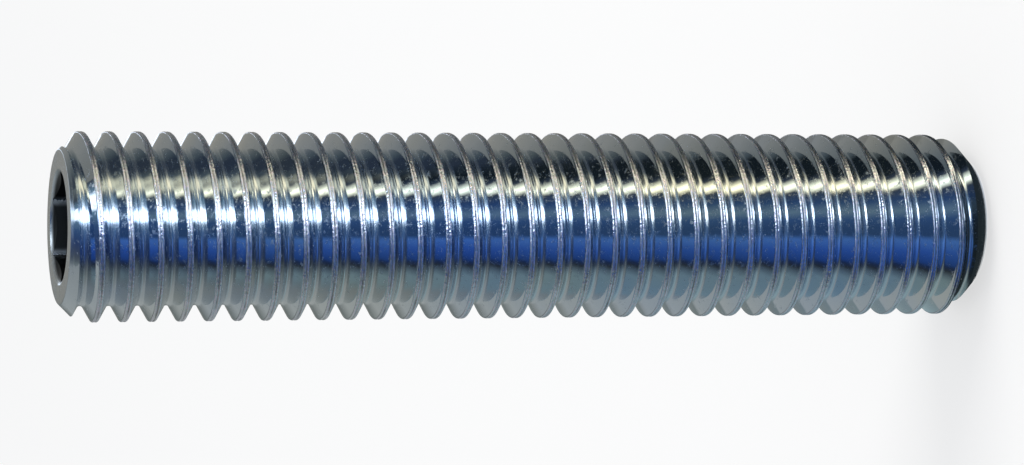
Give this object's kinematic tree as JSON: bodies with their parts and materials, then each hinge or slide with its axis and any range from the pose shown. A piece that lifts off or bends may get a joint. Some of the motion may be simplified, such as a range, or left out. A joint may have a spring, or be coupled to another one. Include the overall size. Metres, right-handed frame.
{
  "type": "grub set screw",
  "caption": "Headless set screw: a straight rod with a coarse right-hand thread over its whole length, a hexagon socket in one end and a flat bevelled point at the other.",
  "frame": {"origin": "middle of the flat point's face, on which the screw stands", "axes": "+Z along the screw's axis, from the point up to the socket end"},
  "size_m": [0.0098, 0.0098, 0.05],
  "materials": {
    "zinc_plate": "bright zinc plating with a blue tint"
  },
  "bodies": {
    "root": {"set_screw": "zinc_plate"}
  },
  "joints": []
}
